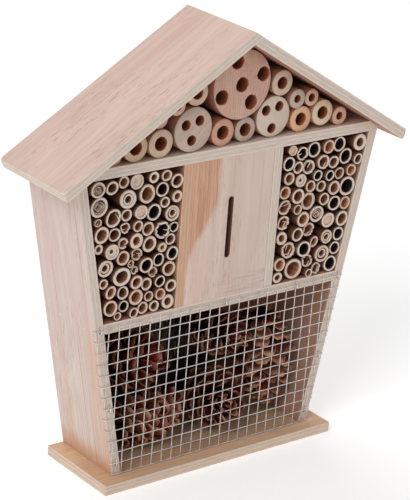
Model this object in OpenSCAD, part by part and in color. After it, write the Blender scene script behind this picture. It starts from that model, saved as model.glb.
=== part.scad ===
// Insect hotel: a small gabled plywood house, open at the front, filled with drilled
// logs, hollow canes and pine cones. Millimetres, +Z up, the front faces -Y.
// The origin is under the middle of the house, on the surface it stands on.

/* [Panels] */
// Thickness of every plywood panel
ply_t = 7; // [6:0.5:8]
// Thickness of the back panel
back_t = 5; // [4:0.5:5]
// Depth of the house from the front edges to the back
body_depth = 56; // [54:1:58]

/* [Base] */
// Width of the base plate
base_w = 188; // [184:1:196]
// How far the base plate stands out at the front
base_lip = 11; // [8:1:14]

/* [Walls] */
// Width over the feet of the two side walls
foot_w = 164; // [160:1:168]
// Outward lean of the side walls, in degrees
wall_lean = 10.7; // [9.5:0.1:11.5]

/* [Shelves] */
// Height of the underside of the middle shelf
mid_shelf_z = 108.5; // [104:0.5:110]
// Height of the underside of the upper shelf
top_shelf_z = 212; // [210:0.5:213]
// Width over the two dividers
divider_span = 80; // [76:1:84]

/* [Roof] */
// Height of the ridge
ridge_z = 295.5; // [294:0.5:300]
// Slope of each roof panel, in degrees
roof_pitch = 31; // [30.5:0.1:31.5]
// Length of a roof panel down its slope
roof_len = 161; // [156:1:166]
// How far the roof stands out at the front
roof_lip = 11; // [8:1:14]
// How far the roof stands out at the back
roof_back_lip = 3; // [2.5:0.5:6]
// Radius of the corners at the eaves
eave_r = 3; // [1:0.5:5]

/* [Butterfly slot] */
// Width of the slot in the butterfly panel
slot_w = 4.5; // [4.5:0.5:8]
// Height of the slot
slot_h = 42; // [30:1:60]

/* [Wire mesh] */
// Spacing of the wires
mesh_pitch = 8; // [8:1:10]
// Diameter of a wire
wire_d = 0.7; // [0.6:0.1:1]

/* [Filling] */
// Length of the canes
cane_len = 50; // [46:0.5:50]
// Size of the canes as a share of their listed diameters
cane_size = 1; // [0.9:0.01:1]
// Bore of a cane as a share of its diameter
cane_bore = 0.68; // [0.55:0.01:0.72]
// Length of the drilled logs and dowels
log_len = 48; // [44:1:48]
// Depth of the holes drilled into the logs
drill_depth = 40; // [30:1:42]
// Free space between neighbouring canes or logs
fill_gap = 0.15; // [0.1:0.05:0.2]

/* [Hanger] */
// Height of the keyhole above the ground
keyhole_z = 254; // [250:1:256]
// Radius of the keyhole's round opening
keyhole_r = 4; // [3.5:0.5:4.5]

/* [Hidden] */

$fn = 48;

// Cutters run this far past the faces they cut.
past = 1;

// Depth: the roof is centred on the origin, and the house stands behind its front lip.
roof_depth = body_depth + roof_lip + roof_back_lip;
front_y = roof_lip - roof_depth / 2;
back_y = front_y + body_depth;
inner_back_y = back_y - back_t;

// Outline of the walls, as half widths at a height z.
base_top = ply_t;
lean_k = tan(wall_lean);
wall_across = ply_t / cos(wall_lean);
function outer_x(z) = foot_w / 2 + lean_k * (z - base_top);
function inner_x(z) = outer_x(z) - wall_across;

// The roof's underside drops from its apex by roof_k for each millimetre sideways.
roof_k = tan(roof_pitch);
apex_z = ridge_z - ply_t / cos(roof_pitch);
// Heights at which the faces of a wall meet the underside of the roof.
function meet_z(foot_x) = (apex_z - roof_k * (foot_x - lean_k * base_top)) / (1 + roof_k * lean_k);
outer_top = meet_z(foot_w / 2);
inner_top = meet_z(foot_w / 2 - wall_across);

mid_floor = mid_shelf_z + ply_t;
top_floor = top_shelf_z + ply_t;
divider_x = divider_span / 2 - ply_t;

// Colours
pine = [0.86, 0.76, 0.65];
pine_warm = [0.87, 0.72, 0.55];
dowel_wood = [0.82, 0.7, 0.57];
bamboo = [0.84, 0.76, 0.62];
cone_brown = [0.42, 0.22, 0.14];
zinc = [0.75, 0.76, 0.77];

// ---------- Shared shapes ----------

// Raises an outline drawn in X and Z, from y_front back through depth.
module panel(y_front, depth) {
    translate([0, y_front + depth, 0])
        rotate([90, 0, 0])
            linear_extrude(depth)
                children();
}

// A round bar along Y that starts at y_front.
module bar_y(x, z, d, y_front, length) {
    translate([x, y_front, z])
        rotate([-90, 0, 0])
            cylinder(d = d, h = length);
}

// The free space inside the walls and under the roof, seen from the front.
module inner_outline() {
    polygon([
        [-inner_x(base_top), base_top],
        [inner_x(base_top), base_top],
        [inner_x(inner_top), inner_top],
        [0, apex_z],
        [-inner_x(inner_top), inner_top]
    ]);
}

// A level band of the inner outline, from height z up through ply_t.
module shelf_outline(z) {
    intersection() {
        inner_outline();
        translate([-base_w, z])
            square([2 * base_w, ply_t]);
    }
}

// ---------- Fasteners ----------

brad_d = 1.4;
brad_len = 20;
back_brad_len = 14;
brad_head_d = 2.2;
brad_head_t = 0.6;
brad_fn = 24;
// Brads stand this far in from the front edges and from the back panel.
brad_inset = 12;
brad_ys = [front_y + brad_inset, inner_back_y - brad_inset];
// Wall brads rise as they go in, so they start this far above the shelf's underside.
brad_start = 0.8;

// A brad that points along -Z, its head's top at the origin.
module brad(length) {
    translate([0, 0, -length])
        cylinder(d = brad_d, h = length, $fn = brad_fn);
    translate([0, 0, -brad_head_t])
        cylinder(d = brad_head_d, h = brad_head_t, $fn = brad_fn);
}

// Two brads driven square through one leaning wall into a shelf's end.
module wall_brad_pair(side, z) {
    for (y = brad_ys)
        translate([side * outer_x(z), y, z])
            rotate([0, side * (90 + wall_lean), 0])
                brad(brad_len);
}

module shelf_brad_set(side) {
    wall_brad_pair(side, mid_shelf_z + brad_start);
    wall_brad_pair(side, top_shelf_z + brad_start);
}

// Brads driven up through the base plate into the foot of a wall.
module base_brad_set(side) {
    for (y = brad_ys)
        translate([side * (foot_w / 2 - wall_across / 2 + lean_k * ply_t), y, 0])
            mirror([0, 0, 1])
                brad(brad_len);
}

// Brads driven through the back panel into the edges of the shelves and dividers.
mid_brad_x = 75;
top_brad_x = 88;
divider_brad_z = 165;
back_brad_places = concat(
    [for (n = [-1 : 1]) [n * mid_brad_x, mid_shelf_z + ply_t / 2]],
    [for (side = [-1, 1]) [side * top_brad_x, top_shelf_z + ply_t / 2]],
    [for (side = [-1, 1]) [side * (divider_x + ply_t / 2), divider_brad_z]]
);

module back_brad_set() {
    for (p = back_brad_places)
        translate([p[0], back_y, p[1]])
            rotate([-90, 0, 0])
                brad(back_brad_len);
}

// ---------- Panels ----------

module base_plate() {
    color(pine_warm)
        difference() {
            translate([-base_w / 2, front_y - base_lip, 0])
                cube([base_w, body_depth + base_lip, ply_t]);
            for (side = [-1, 1])
                base_brad_set(side);
        }
}

module wall_blank(side) {
    panel(front_y, body_depth)
        polygon([
            [side * outer_x(base_top), base_top],
            [side * inner_x(base_top), base_top],
            [side * inner_x(inner_top), inner_top],
            [side * outer_x(outer_top), outer_top]
        ]);
}

module side_wall(side) {
    color(pine)
        difference() {
            wall_blank(side);
            shelf_brad_set(side);
            base_brad_set(side);
            staple_legs();
        }
}

module left_wall() {
    side_wall(-1);
}

module right_wall() {
    side_wall(1);
}

module back_panel() {
    color(pine)
        difference() {
            panel(inner_back_y, back_t)
                inner_outline();
            back_brad_set();
            keyhole_pocket();
            hanger_screw_shanks();
        }
}

module middle_shelf() {
    color(pine)
        difference() {
            panel(front_y, body_depth - back_t)
                shelf_outline(mid_shelf_z);
            for (side = [-1, 1])
                shelf_brad_set(side);
            back_brad_set();
            staple_legs();
        }
}

module upper_shelf() {
    color(pine)
        difference() {
            panel(front_y, body_depth - back_t)
                shelf_outline(top_shelf_z);
            for (side = [-1, 1])
                shelf_brad_set(side);
            back_brad_set();
        }
}

module divider(side) {
    color(pine)
        difference() {
            translate([side * (divider_x + ply_t / 2) - ply_t / 2, front_y, mid_floor])
                cube([ply_t, body_depth - back_t, top_shelf_z - mid_floor]);
            back_brad_set();
        }
}

module left_divider() {
    divider(-1);
}

module right_divider() {
    divider(1);
}

// The slot is a straight run between two round ends.
module butterfly_panel() {
    slot_mid = (mid_floor + top_shelf_z) / 2;
    slot_run = slot_h - slot_w;
    color(pine)
        panel(front_y, ply_t)
            difference() {
                translate([-divider_x, mid_floor])
                    square([2 * divider_x, top_shelf_z - mid_floor]);
                translate([-slot_w / 2, slot_mid - slot_run / 2])
                    square([slot_w, slot_run]);
                for (end = [-1, 1])
                    translate([0, slot_mid + end * slot_run / 2])
                        circle(d = slot_w);
            }
}

// ---------- Roof ----------

eave_x = roof_len * cos(roof_pitch);
eave_z = ridge_z - roof_len * sin(roof_pitch);
// The eaves are cut square to the slope.
eave_low = [eave_x - ply_t * sin(roof_pitch), eave_z - ply_t * cos(roof_pitch)];
// The left panel runs over the ridge and ends flush with the right panel's top.
over_run = ply_t / sin(2 * roof_pitch);
ridge_end = [over_run * cos(roof_pitch), ridge_z - over_run * sin(roof_pitch)];

// Plan of one roof panel with its two eave corners rounded.
module roof_plan(side) {
    y0 = -roof_depth / 2;
    translate([side > 0 ? 0 : -eave_x + eave_r, y0])
        square([eave_x - eave_r + (side > 0 ? 0 : over_run), roof_depth]);
    translate([side > 0 ? 0 : -eave_x, y0 + eave_r])
        square([eave_x, roof_depth - 2 * eave_r]);
    for (y = [y0 + eave_r, -y0 - eave_r])
        translate([side * (eave_x - eave_r), y])
            circle(r = eave_r);
}

module roof_panel(side) {
    color(pine)
        intersection() {
            panel(-roof_depth / 2, roof_depth)
                children();
            linear_extrude(ridge_z + past)
                roof_plan(side);
        }
}

module roof_left() {
    roof_panel(-1)
        polygon([
            [-eave_x, eave_z], [0, ridge_z], ridge_end,
            [-eave_low[0], eave_low[1]]
        ]);
}

module roof_right() {
    roof_panel(1)
        polygon([
            ridge_end, [eave_x, eave_z], eave_low, [0, apex_z]
        ]);
}

// ---------- Wire mesh ----------

// Wires that nearly touch are left this far apart, so that each stays one bar.
wire_gap = 0.02;
// The lowest level wire stands this far above the base.
mesh_foot = 0.8;
mesh_x0 = 5;
mesh_rows = 13;
// The uprights stand this far above the top level wire, and this far in from the edges.
mesh_over = 2;
mesh_side_in = 3;
mesh_y_up = front_y - wire_d / 2 - wire_gap;
mesh_y_level = mesh_y_up - wire_d - wire_gap;
mesh_z0 = base_top + mesh_foot;
mesh_top = mesh_z0 + mesh_rows * mesh_pitch + mesh_over;
// Wires end this far inside the outer edges of the walls.
mesh_trim = 0.5;

module level_wire(z) {
    half = outer_x(z) - mesh_trim;
    translate([-half, mesh_y_level, z])
        rotate([0, 90, 0])
            cylinder(d = wire_d, h = 2 * half, $fn = 16);
}

module upright_wire(x) {
    reach = abs(x) + mesh_trim;
    start = max(mesh_z0 - mesh_foot / 2, base_top + (reach - foot_w / 2) / lean_k);
    translate([x, mesh_y_up, start])
        cylinder(d = wire_d, h = mesh_top - start, $fn = 16);
}

module wire_mesh() {
    last_x = outer_x(mesh_top) - mesh_side_in;
    first = ceil((-last_x - mesh_x0) / mesh_pitch);
    last = floor((last_x - mesh_x0) / mesh_pitch);
    color(zinc) {
        for (row = [0 : mesh_rows])
            level_wire(row_z(row));
        for (k = [first : last])
            upright_wire(mesh_x0 + k * mesh_pitch);
    }
}

// Staples of square wire bridge a level wire. Their legs stand in the edges of the
// shelf and walls.
staple_d = 0.8;
staple_h = 4.8;
staple_leg = 8;
staple_y = mesh_y_level - wire_d / 2 - staple_d / 2 - wire_gap;
staple_side_in = 4;
// Staples stand on these level wires, counted from the lowest: along the shelf at the
// given places, and on both walls' edges at the given rows.
shelf_staple_xs = [-59, 1, 61];
wall_staple_rows = [1, 6, mesh_rows];
function row_z(row) = mesh_z0 + row * mesh_pitch;
staple_places = concat(
    [for (x = shelf_staple_xs) [x, row_z(mesh_rows)]],
    [for (row = wall_staple_rows, side = [-1, 1])
        [side * (outer_x(row_z(row)) - staple_side_in), row_z(row)]]
);

// A square bar along Y from staple_y, centred on x and z.
module square_bar(x, z, height, depth) {
    translate([x - staple_d / 2, staple_y - staple_d / 2, z - height / 2])
        cube([staple_d, depth, height]);
}

module staple_legs() {
    for (p = staple_places, end = [-1, 1])
        square_bar(p[0], p[1] + end * (staple_h - staple_d) / 2, staple_d,
            front_y + staple_leg - staple_y);
}

module mesh_staples() {
    color(zinc) {
        staple_legs();
        for (p = staple_places)
            square_bar(p[0], p[1], staple_h, staple_d);
    }
}

module shelf_brads() {
    color(zinc)
        for (side = [-1, 1])
            shelf_brad_set(side);
}

module base_brads() {
    color(zinc)
        for (side = [-1, 1])
            base_brad_set(side);
}

module back_brads() {
    color(zinc)
        back_brad_set();
}

// ---------- Hanger ----------

plate_w = 18;
plate_h = 46;
plate_t = 1.2;
plate_r = 4;
// The keyhole's slot is for a 4 mm screw and rises from the round opening.
neck_w = 4.4;
neck_rise = 8;
// The middle of the plate stands this far above the middle of the round opening.
plate_rise = 2;
plate_z = keyhole_z + plate_rise;
hanger_screw_d = 3;
hanger_screw_len = 4.5;
hanger_screw_off = 17;
hanger_head_d = 5.6;
hanger_head_t = 1.6;
// A pocket behind the plate takes the head of the wall screw.
pocket_r = 6.5;
pocket_depth = 4;
pocket_over = 2;

module keyhole_pocket() {
    translate([0, back_y - pocket_depth, keyhole_z])
        rotate([-90, 0, 0])
            cylinder(r = pocket_r, h = pocket_depth + past);
    translate([-pocket_r, back_y - pocket_depth, keyhole_z])
        cube([2 * pocket_r, pocket_depth + past, neck_rise + pocket_over]);
}

module hanger_screw_shanks() {
    for (end = [-1, 1])
        bar_y(0, plate_z + end * hanger_screw_off, hanger_screw_d,
            back_y - hanger_screw_len, hanger_screw_len + plate_t);
}

module plate_outline() {
    square([plate_w - 2 * plate_r, plate_h], center = true);
    square([plate_w, plate_h - 2 * plate_r], center = true);
    for (side = [-1, 1], end = [-1, 1])
        translate([side * (plate_w / 2 - plate_r), end * (plate_h / 2 - plate_r)])
            circle(r = plate_r);
}

module hanger_plate() {
    color(zinc)
        difference() {
            panel(back_y, plate_t)
                difference() {
                    translate([0, plate_z])
                        plate_outline();
                    translate([-neck_w / 2, keyhole_z])
                        square([neck_w, neck_rise]);
                    translate([0, keyhole_z + neck_rise])
                        circle(d = neck_w);
                    translate([0, keyhole_z])
                        circle(r = keyhole_r);
                }
            hanger_screw_shanks();
        }
}

module hanger_screws() {
    color(zinc) {
        hanger_screw_shanks();
        for (end = [-1, 1])
            bar_y(0, plate_z + end * hanger_screw_off, hanger_head_d,
                back_y + plate_t, hanger_head_t);
    }
}

// ---------- Stacking ----------

// A dowel let down at its own x comes to rest on the floor, on the pieces already there,
// or against a leaning wall. A settled piece is [x, z, diameter].
function wall_floor(x, r) = base_top
    + (abs(x) + (r + fill_gap) / cos(wall_lean) - inner_x(base_top)) / lean_k;
function on_piece(x, r, q) =
    let (reach = r + q[2] / 2 + fill_gap, dx = x - q[0])
    abs(dx) < reach ? q[1] + sqrt(reach * reach - dx * dx) : 0;
function rest_z(x, r, floor_z, done) =
    max(concat([floor_z + r + fill_gap, wall_floor(x, r)], [for (q = done) on_piece(x, r, q)]));

// Canes that overlap push each other apart over a few rounds, inside their compartment.
// Then each is trimmed so that it clears the canes and panels around it.
spread_rounds = 12;
spread_share = 0.35;
cane_room = top_shelf_z - mid_floor;
function between(low, v, high) = max(low, min(high, v));
function push(c, q) =
    let (away = [c[1] - q[1], c[2] - q[2]], dist = norm(away),
         over = (c[0] + q[0]) / 2 + fill_gap - dist)
    dist > 0 && over > 0 ? spread_share * over / dist * away : [0, 0];
function spread_one(c, all) =
    let (r = c[0] / 2,
         moves = [for (q = all) push(c, q)],
         move = [for (m = moves) 1] * moves,
         h = between(r + fill_gap, c[2] + move[1], cane_room - r - fill_gap),
         x = between(divider_span / 2 + r + fill_gap, abs(c[1] + move[0]),
             inner_x(mid_floor + h) - (r + fill_gap) / cos(wall_lean)))
    [c[0], sign(c[1]) * x, h, c[3]];
function spread(all, rounds = spread_rounds) =
    rounds == 0 ? all : spread([for (c = all) spread_one(c, all)], rounds - 1);
// The most that cane c may measure beside cane q, when each gives way by its size.
function room_beside(c, q) =
    let (dist = norm([c[1] - q[1], c[2] - q[2]]))
    dist > 0 ? 2 * (dist - fill_gap) * c[0] / (c[0] + q[0]) : c[0];
function room_inside(c) =
    let (x = abs(c[1]))
    2 * min(x - divider_span / 2, c[2], cane_room - c[2],
        (inner_x(mid_floor + c[2]) - x) * cos(wall_lean)) - 2 * fill_gap;
function trim_cane(c, all) =
    let (d = min(concat([c[0], room_inside(c)], [for (q = all) room_beside(c, q)])))
    [d, c[1], c[2], c[3]];

// ---------- Canes ----------

// Kinds of cane: bored through, or closed by a node just behind its face.
OPEN = 0;
NODE = 1;
node_recess = 1.5;
// The faces of the canes stand a little in or out of the front edges, in turn.
face_wave = 1.2;
face_turn = 137.5;

// Courses of canes from the floor up: [diameter, x, height, kind], with the heights of
// their axes above the shelf they lie on.
left_courses = [
    [[6.8, -85, 2, OPEN], [8.5, -56, 4, OPEN], [7.4, -73, 3, OPEN], [9.4, -65, 4, OPEN],
     [11.5, -45, 5, OPEN], [12.6, -90, 10, OPEN]],
    [[9.2, -79, 8, OPEN], [9, -51, 12, OPEN], [8, -60, 12, OPEN], [12, -70, 14, OPEN],
     [9.3, -44, 16, OPEN], [10, -80, 17, OPEN], [10, -90, 21, OPEN]],
    [[9, -52, 21, OPEN], [10, -62, 21, OPEN], [10, -72, 24, OPEN], [11.5, -45, 27, OPEN],
     [7.3, -96, 27, OPEN], [14.6, -83, 30, OPEN], [8.5, -58, 28, OPEN]],
    [[11, -65, 34, OPEN], [6, -73, 32, OPEN], [10.3, -54, 34, OPEN], [10.5, -45, 39, OPEN],
     [12.4, -95, 37, OPEN], [6, -76, 37, OPEN], [10.3, -84, 42, OPEN]],
    [[9.5, -72, 42, OPEN], [7.6, -54, 44, OPEN], [12, -63, 48, OPEN], [8.5, -47, 47, OPEN],
     [11, -92, 49, NODE], [7.4, -100, 51, OPEN], [11.5, -74, 52, OPEN]],
    [[8, -83, 52, OPEN], [7.8, -44, 55, OPEN], [12.3, -54, 56, OPEN], [10, -89, 58, OPEN],
     [10.2, -65, 59, OPEN], [12, -100, 61, OPEN]],
    [[8, -82, 61, OPEN], [8.3, -74, 62, OPEN], [12.5, -46, 66, OPEN],
     [12.3, -60, 69, OPEN], [10.5, -71, 71, NODE], [9, -81, 70, OPEN],
     [12.7, -93, 71, OPEN]],
    [[5.5, -103, 68, OPEN], [8.4, -53, 75, OPEN], [8.8, -45, 76, OPEN],
     [14, -102, 79, OPEN], [13.6, -67, 82, OPEN], [13.4, -82, 82, OPEN],
     [11.5, -55, 84, OPEN]],
    [[10, -45, 88, OPEN], [9.7, -94, 90, OPEN], [11, -74, 90, NODE], [11, -105, 90, OPEN],
     [8.7, -85, 92, OPEN], [8, -63, 92, OPEN], [9, -53, 92, OPEN]]
];
right_courses = [
    [[8.6, 45, 3, OPEN], [15.5, 59, 7, OPEN], [6.2, 71, 3, OPEN], [8.8, 79, 4, OPEN],
     [12, 90, 7, OPEN]],
    [[10.2, 46, 13, OPEN], [9.5, 71, 11, OPEN], [12.8, 81, 15, OPEN], [9.8, 94, 17, OPEN],
     [12.4, 52, 22, OPEN], [12.5, 66, 22, OPEN]],
    [[8.8, 75, 24, OPEN], [11, 84, 26, OPEN], [10.6, 95, 27, OPEN], [10.2, 47, 31, OPEN],
     [10, 58, 33, OPEN], [10.4, 69, 34, OPEN]],
    [[11.8, 86, 38, NODE], [11.4, 97, 38, OPEN], [10.8, 47, 42, OPEN], [11, 62, 43, OPEN],
     [12.6, 75, 44, OPEN]],
    [[10, 100, 48, OPEN], [7.5, 56, 52, OPEN], [11.2, 47, 53, OPEN], [11.5, 89, 50, OPEN],
     [9.2, 80, 54, OPEN], [13.2, 66, 55, OPEN]],
    [[11, 56, 60, OPEN], [9.8, 46, 64, OPEN], [14.4, 100, 61, OPEN], [10.3, 87, 61, OPEN],
     [8.8, 77, 63, OPEN], [8.5, 66, 65, OPEN]],
    [[9.8, 58, 70, NODE], [8.8, 92, 70, OPEN], [8, 82, 71, OPEN], [9.5, 49, 73, OPEN],
     [8, 72, 72, OPEN], [9, 101, 72, OPEN], [11, 65, 78, OPEN]],
    [[8.8, 107, 78, OPEN], [9.2, 55, 79, OPEN], [10.1, 86, 79, OPEN], [11.1, 75, 81, OPEN],
     [12.5, 97, 81, OPEN], [10.2, 46, 84, OPEN]],
    [[9.8, 57, 89, OPEN], [11.6, 68, 90, OPEN], [10.1, 79, 90, OPEN], [11.3, 90, 89, OPEN],
     [7.5, 49, 92, NODE], [12, 106, 90, OPEN]]
];

function flat(courses) =
    [for (course = courses, c = course) [c[0] * cane_size, c[1], c[2], c[3]]];
function count_below(courses, n) = n == 0 ? 0 : len(courses[n - 1]) + count_below(courses, n - 1);

module cane(c, k) {
    z = mid_floor + c[2];
    face_y = front_y + face_wave * sin(face_turn * k);
    length = min(cane_len, inner_back_y - fill_gap - face_y);
    depth = c[3] == NODE ? node_recess : length + past;
    difference() {
        bar_y(c[1], z, c[0], face_y, length);
        bar_y(c[1], z, c[0] * cane_bore, face_y - past, depth + past);
    }
}

// One course of a compartment, with the whole compartment's canes moved apart first.
module cane_course(courses, n) {
    all = spread(flat(courses));
    first = count_below(courses, n);
    color(bamboo)
        for (k = [first : first + len(courses[n]) - 1])
            cane(trim_cane(all[k], all), k);
}

// ---------- Logs and dowels ----------

// Dowels in the gable, in stacking order: [diameter, x, hole diameter].
gable_dowels = [
    [29.5, -34.2, 0], [27.5, 31, 0], [18, -9.8, 9], [16.5, 8.6, 8.5],
    [18.5, -58.8, 9], [18, -77.4, 9], [11, -92.5, 5.2], [17.5, 54.5, 8.5], [12.5, 88, 5.2],
    [46, 2.5, 0],
    [17.5, 72, 8.5], [13, 49.5, 5.2], [17, 36, 8], [11.5, 62.5, 5.4],
    [12, -59.5, 5.4], [12, -47, 5.4], [16.5, -32, 8]
];
// How far each dowel's face stands behind the front edges, in turn.
dowel_recess = [1, 2.5, 2, 2.5, 1, 1.5, 2, 2.5, 2.5, 1.2, 1.5, 1.5, 2, 2.5, 2, 1.5, 2];
LEFT_LOG = 0;
RIGHT_LOG = 1;
LARGE_LOG = 9;

// Dowels are placed by hand, so they do not roll: each is let down at its own x.
function stack_dowels(list, done = []) =
    len(done) == len(list) ? done
    : let (p = list[len(done)], r = p[0] / 2)
      stack_dowels(list, concat(done, [[p[1], rest_z(p[1], r, top_floor, done), p[0], p[2]]]));

module dowel(k, holes) {
    p = stack_dowels(gable_dowels)[k];
    face_y = front_y + dowel_recess[k];
    difference() {
        bar_y(p[0], p[1], p[2], face_y, log_len);
        for (h = holes)
            bar_y(p[0] + h[0], p[1] + h[1], h[2], face_y - past, drill_depth + past);
    }
}

module plain_dowels(indices) {
    color(dowel_wood)
        for (k = indices)
            dowel(k, [[0, 0, gable_dowels[k][2]]]);
}

// Holes in the large log: [x, z, diameter] from its centre.
large_hole_d = 9.2;
large_holes = [
    [0, 0, large_hole_d], [-15.5, -6.5, large_hole_d], [16.5, 5, large_hole_d],
    [8, -12.5, large_hole_d], [-5, 15.5, large_hole_d]
];
// Three holes on a circle in each of the two smaller logs, at these angles.
small_hole_d = 6.6;
left_log_ring = 7;
left_log_angles = [49, 149, 263];
right_log_ring = 7.8;
right_log_angles = [55, 142, 266];
function ring_holes(ring, angles) = [
    for (a = angles) [ring * cos(a), ring * sin(a), small_hole_d]
];

module left_floor_dowels() {
    plain_dowels([4, 5, 6]);
}

module left_upper_dowels() {
    plain_dowels([14, 15, 16]);
}

module middle_dowels() {
    plain_dowels([2, 3]);
}

module right_floor_dowels() {
    plain_dowels([7, 10, 8]);
}

module right_upper_dowels() {
    plain_dowels([11, 12, 13]);
}

module large_log() {
    color(dowel_wood)
        dowel(LARGE_LOG, large_holes);
}

module left_log() {
    color(dowel_wood)
        dowel(LEFT_LOG, ring_holes(left_log_ring, left_log_angles));
}

module right_log() {
    color(dowel_wood)
        dowel(RIGHT_LOG, ring_holes(right_log_ring, right_log_angles));
}

// ---------- Pine cones ----------

// A cone is turned from its outline: a plump body with whorls of scales, as steps.
whorls = 7;
scale_lip = 2;
scale_share = 0.4;
// Below 1, the cone is widest nearer its foot than its tip.
cone_taper = 0.8;
function cone_r(d, t) = d / 2 * sqrt(sin(180 * pow(t, cone_taper)));
module pine_cone(place, turn, d, length) {
    step = length / (whorls + 1);
    color(cone_brown)
        translate(place)
            rotate(turn)
                translate([0, 0, -length / 2])
                    rotate_extrude()
                        polygon(concat(
                            [[0, 0]],
                            [for (k = [1 : whorls], s = [0, 1])
                                [cone_r(d, k / (whorls + 1)) - s * scale_lip,
                                    step * (k + scale_share * s)]],
                            [[0, length]]
                        ));
}

mid_y = (front_y + inner_back_y) / 2;

module upper_left_cone() {
    pine_cone([-58, mid_y, 75.5], [76, 0, 30], 50, 47);
}

module lower_left_cone() {
    pine_cone([-40, mid_y, 29], [0, 80, 0], 42, 56);
}

module lower_middle_cone() {
    pine_cone([17, mid_y, 31], [80, 0, -14], 46, 46);
}

module upper_middle_cone() {
    pine_cone([16, mid_y, 79], [84, 0, 12], 38, 46);
}

module right_cone() {
    pine_cone([58.8, mid_y, 55], [0, 174, 0], 49, 68);
}

// ---------- Nodes ----------

base_plate();
left_wall();
right_wall();
back_panel();
middle_shelf();
upper_shelf();
left_divider();
right_divider();
butterfly_panel();
roof_left();
roof_right();
wire_mesh();
mesh_staples();
shelf_brads();
base_brads();
back_brads();
hanger_plate();
hanger_screws();
large_log();
left_log();
right_log();
left_floor_dowels();
left_upper_dowels();
middle_dowels();
right_floor_dowels();
right_upper_dowels();
upper_left_cone();
lower_left_cone();
lower_middle_cone();
upper_middle_cone();
right_cone();
cane_course(left_courses, 0);  // left_canes_1
cane_course(left_courses, 1);  // left_canes_2
cane_course(left_courses, 2);  // left_canes_3
cane_course(left_courses, 3);  // left_canes_4
cane_course(left_courses, 4);  // left_canes_5
cane_course(left_courses, 5);  // left_canes_6
cane_course(left_courses, 6);  // left_canes_7
cane_course(left_courses, 7);  // left_canes_8
cane_course(left_courses, 8);  // left_canes_9
cane_course(right_courses, 0);  // right_canes_1
cane_course(right_courses, 1);  // right_canes_2
cane_course(right_courses, 2);  // right_canes_3
cane_course(right_courses, 3);  // right_canes_4
cane_course(right_courses, 4);  // right_canes_5
cane_course(right_courses, 5);  // right_canes_6
cane_course(right_courses, 6);  // right_canes_7
cane_course(right_courses, 7);  // right_canes_8
cane_course(right_courses, 8);  // right_canes_9
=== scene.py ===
"""Insect hotel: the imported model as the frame, with a detailed visual piece or a wood,
cane, cone or metal material for every node. Metres, +Z up, the front faces -Y."""
import random
from math import cos, pi, radians, sin, sqrt, tan

import bmesh
import bpy
from mathutils import Euler, Matrix, Vector, noise


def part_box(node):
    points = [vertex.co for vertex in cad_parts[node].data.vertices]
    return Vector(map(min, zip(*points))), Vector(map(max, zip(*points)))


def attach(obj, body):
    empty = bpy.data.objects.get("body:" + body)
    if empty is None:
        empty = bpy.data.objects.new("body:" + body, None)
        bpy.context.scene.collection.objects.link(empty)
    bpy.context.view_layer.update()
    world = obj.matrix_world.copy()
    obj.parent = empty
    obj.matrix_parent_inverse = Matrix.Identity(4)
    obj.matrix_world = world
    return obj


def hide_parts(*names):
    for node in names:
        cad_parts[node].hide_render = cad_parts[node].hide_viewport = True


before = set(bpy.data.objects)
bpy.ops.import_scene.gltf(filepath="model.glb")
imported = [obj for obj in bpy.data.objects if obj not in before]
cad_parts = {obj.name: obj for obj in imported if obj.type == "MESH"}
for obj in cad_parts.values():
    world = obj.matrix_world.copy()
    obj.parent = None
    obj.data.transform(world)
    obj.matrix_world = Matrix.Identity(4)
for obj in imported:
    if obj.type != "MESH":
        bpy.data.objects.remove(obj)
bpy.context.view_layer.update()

MM = 0.001
SEED = 20


def srgb(red, green, blue):
    """A screen colour, 0 to 255, as the linear colour that shaders take."""
    def linear(value):
        value /= 255
        return value / 12.92 if value <= 0.04045 else ((value + 0.055) / 1.055) ** 2.4
    return (linear(red), linear(green), linear(blue), 1.0)


# ----- Measures of the frame -----

LEAN = radians(10.7)  # of the walls from the upright
PITCH = radians(31)   # of the roof from the level
FOOT_X = 0.082        # half the width over the walls where they stand on the base
shelf_low, shelf_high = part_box("middle_shelf")
top_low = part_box("upper_shelf")[0]
front_y = shelf_low.y
ply_t = shelf_high.z - shelf_low.z
base_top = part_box("base_plate")[1].z
ridge_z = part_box("roof_left")[1].z


def outer_x(z):
    """Half the width over the walls' outer faces at height z."""
    return FOOT_X + tan(LEAN) * (z - base_top)


# ----- Material graphs -----

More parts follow.
